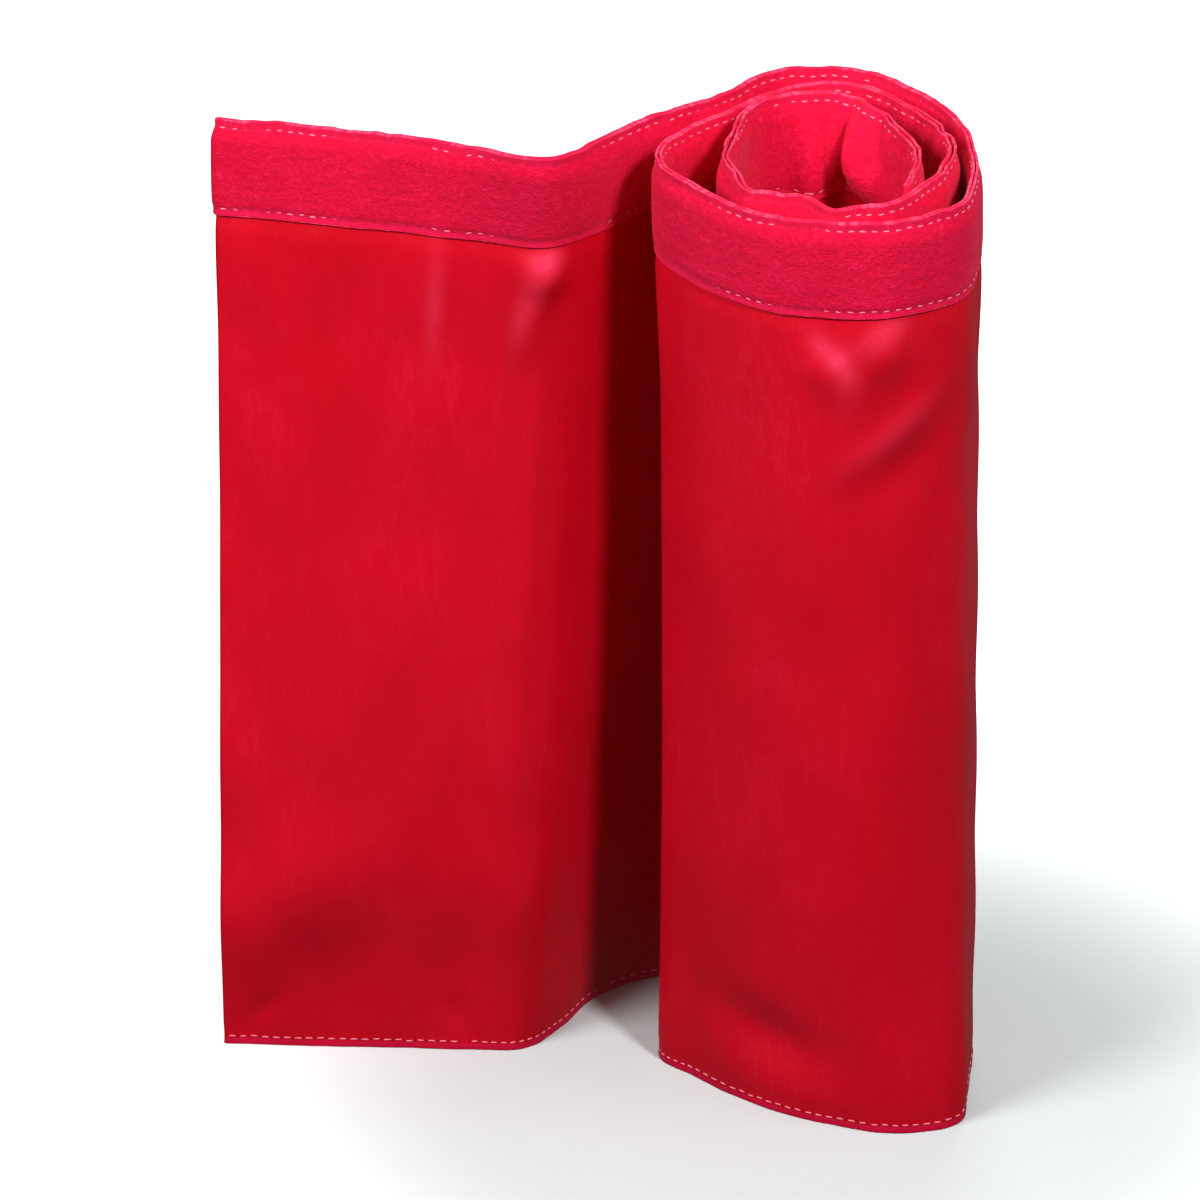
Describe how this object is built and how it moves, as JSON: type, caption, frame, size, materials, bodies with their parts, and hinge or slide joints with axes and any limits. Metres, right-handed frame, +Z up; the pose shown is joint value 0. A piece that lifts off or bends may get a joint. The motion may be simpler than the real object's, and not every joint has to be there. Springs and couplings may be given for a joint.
{
  "type": "fire blanket",
  "caption": "Red fire blanket strip standing on its long edge, loosely rolled at one end with a short free tail; loop tape along the upper edge of both faces.",
  "frame": {"origin": "middle of the plan's box, at the foot of the cloth", "axes": "+Z up the cloth's width, +X along the tail towards the roll, +Y away from the tail's face that carries the roll's inner side"},
  "size_m": [0.3756, 0.1738, 0.5],
  "materials": {
    "coated_skin": "satin red coating over woven cloth",
    "loop_tape": "brushed loop pile, matte",
    "woven_core": "plain woven glass cloth, matte",
    "sewing_thread": "twisted polyester thread, satin"
  },
  "bodies": {
    "roll": {"roll_core_cloth": "woven_core", "roll_outer_skin": "coated_skin", "roll_inner_skin": "coated_skin", "roll_outer_tape": "loop_tape", "roll_inner_tape": "loop_tape", "roll_top_row_thread": "sewing_thread", "roll_tape_row_thread": "sewing_thread", "roll_hem_row_thread": "sewing_thread"},
    "core_flap": {"core_flap_core_cloth": "woven_core", "core_flap_outer_skin": "coated_skin", "core_flap_inner_skin": "coated_skin", "core_flap_outer_tape": "loop_tape", "core_flap_inner_tape": "loop_tape", "core_flap_top_row_thread": "sewing_thread", "core_flap_tape_row_thread": "sewing_thread", "core_flap_hem_row_thread": "sewing_thread"},
    "wrap_back": {"wrap_back_core_cloth": "woven_core", "wrap_back_outer_skin": "coated_skin", "wrap_back_inner_skin": "coated_skin", "wrap_back_outer_tape": "loop_tape", "wrap_back_inner_tape": "loop_tape", "wrap_back_top_row_thread": "sewing_thread", "wrap_back_tape_row_thread": "sewing_thread", "wrap_back_hem_row_thread": "sewing_thread"},
    "tail_near": {"tail_near_core_cloth": "woven_core", "tail_near_outer_skin": "coated_skin", "tail_near_inner_skin": "coated_skin", "tail_near_outer_tape": "loop_tape", "tail_near_inner_tape": "loop_tape", "tail_near_top_row_thread": "sewing_thread", "tail_near_tape_row_thread": "sewing_thread", "tail_near_hem_row_thread": "sewing_thread"},
    "tail_mid": {"tail_mid_core_cloth": "woven_core", "tail_mid_outer_skin": "coated_skin", "tail_mid_inner_skin": "coated_skin", "tail_mid_outer_tape": "loop_tape", "tail_mid_inner_tape": "loop_tape", "tail_mid_top_row_thread": "sewing_thread", "tail_mid_tape_row_thread": "sewing_thread", "tail_mid_hem_row_thread": "sewing_thread"},
    "tail_end": {"tail_end_core_cloth": "woven_core", "tail_end_outer_skin": "coated_skin", "tail_end_inner_skin": "coated_skin", "tail_end_outer_tape": "loop_tape", "tail_end_inner_tape": "loop_tape", "tail_end_top_row_thread": "sewing_thread", "tail_end_tape_row_thread": "sewing_thread", "tail_end_hem_row_thread": "sewing_thread"}
  },
  "joints": [
    {"name": "core_flap_swing", "type": "hinge", "parent": "roll", "child": "core_flap", "pos_m": [0.1395, 0.0342, 0.25], "axis": [0, 0, -1], "range_deg": [0, 40]},
    {"name": "wrap_peel", "type": "hinge", "parent": "roll", "child": "wrap_back", "pos_m": [0.16559, 0.04903, 0.25], "axis": [0, 0, -1], "range_deg": [0, 35]},
    {"name": "tail_root_swing", "type": "hinge", "parent": "wrap_back", "child": "tail_near", "pos_m": [0.07705, 0.07575, 0.25], "axis": [0, 0, -1], "range_deg": [-12, 45]},
    {"name": "tail_bend_swing", "type": "hinge", "parent": "tail_near", "child": "tail_mid", "pos_m": [-0.02988, -0.00183, 0.25], "axis": [0, 0, 1], "range_deg": [-30, 50]},
    {"name": "tail_end_swing", "type": "hinge", "parent": "tail_mid", "child": "tail_end", "pos_m": [-0.10697, 0.00737, 0.25], "axis": [0, 0, 1], "range_deg": [-45, 45]}
  ]
}
